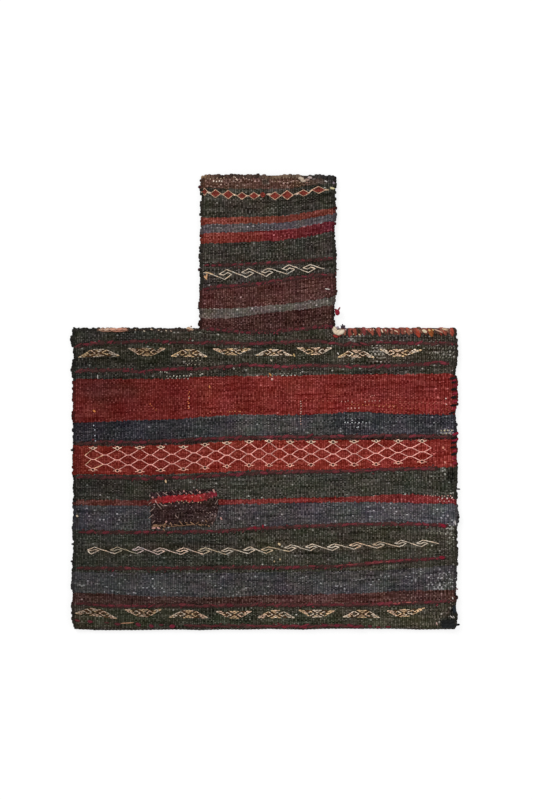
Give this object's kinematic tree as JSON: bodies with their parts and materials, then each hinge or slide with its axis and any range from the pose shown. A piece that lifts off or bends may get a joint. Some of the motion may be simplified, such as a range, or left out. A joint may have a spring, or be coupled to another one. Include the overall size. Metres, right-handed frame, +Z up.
{
  "type": "salt bag",
  "caption": "Flat hand-woven wool bag with a wide striped body and a narrow open neck, brocaded on the front, overcast along its edges, for salt or dry goods.",
  "frame": {"origin": "centre of the outline, on the surface that the bag's back lies on", "axes": "+Z up out of the patterned front, +Y from the folded bottom to the open mouth, +X to the right of the front"},
  "size_m": [0.4296, 0.5076, 0.0167],
  "materials": {
    "striped_wool": "weft-faced wool in dark green, red, blue-grey and maroon stripes",
    "dark_overcast_wool": "dark brown wool overcasting, worn",
    "red_overcast_wool": "orange-red and cream wool overcasting",
    "wrapped_crimson_wool": "crimson wool wrapped over dark warps",
    "salmon_brocade_wool": "salmon pink and cream raised wool",
    "red_brocade_wool": "brick red raised wool outlined in cream",
    "cream_brocade_wool": "undyed cream raised wool",
    "patch_cloth": "dark brown-purple coarse wool with a red stripe",
    "patch_thread": "pale pink and ochre wool thread",
    "red_knot_wool": "crimson wool knot",
    "cream_knot_wool": "cream wool knot"
  },
  "bodies": {
    "root": {"body_line_1": "wrapped_crimson_wool", "body_line_2": "wrapped_crimson_wool", "body_line_3": "wrapped_crimson_wool", "body_line_4": "wrapped_crimson_wool", "body_line_5": "wrapped_crimson_wool", "body_line_6": "wrapped_crimson_wool", "body_line_7": "wrapped_crimson_wool", "body_line_8": "wrapped_crimson_wool", "body_scroll_chain": "cream_brocade_wool", "cream_knot": "cream_knot_wool", "lower_motif_1": "cream_brocade_wool", "lower_motif_2": "cream_brocade_wool", "lower_motif_3": "cream_brocade_wool", "lower_motif_4": "cream_brocade_wool", "lower_motif_5": "cream_brocade_wool", "lower_motif_6": "cream_brocade_wool", "lower_motif_7": "cream_brocade_wool", "lower_motif_8": "cream_brocade_wool", "lozenge_net": "salmon_brocade_wool", "mouth_edge_back": "dark_overcast_wool", "mouth_edge_front": "dark_overcast_wool", "neck_diamond_chain": "red_brocade_wool", "neck_line_1": "wrapped_crimson_wool", "neck_line_2": "wrapped_crimson_wool", "neck_line_3": "wrapped_crimson_wool", "neck_scroll_chain": "cream_brocade_wool", "neck_seam_left": "dark_overcast_wool", "neck_seam_right": "dark_overcast_wool", "pale_knot": "cream_knot_wool", "patch_stitching": "patch_thread", "red_knot": "red_knot_wool", "repair_patch": "patch_cloth", "shoulder_seam_left": "dark_overcast_wool", "shoulder_seam_right": "red_overcast_wool", "side_seam_left": "dark_overcast_wool", "side_seam_right": "dark_overcast_wool", "upper_motif_1": "cream_brocade_wool", "upper_motif_2": "cream_brocade_wool", "upper_motif_3": "cream_brocade_wool", "upper_motif_4": "cream_brocade_wool", "upper_motif_5": "cream_brocade_wool", "upper_motif_6": "cream_brocade_wool", "upper_motif_7": "cream_brocade_wool", "upper_motif_8": "cream_brocade_wool", "woven_back": "striped_wool", "woven_front_left": "striped_wool", "woven_front_middle": "striped_wool", "woven_front_right": "striped_wool"}
  },
  "joints": []
}
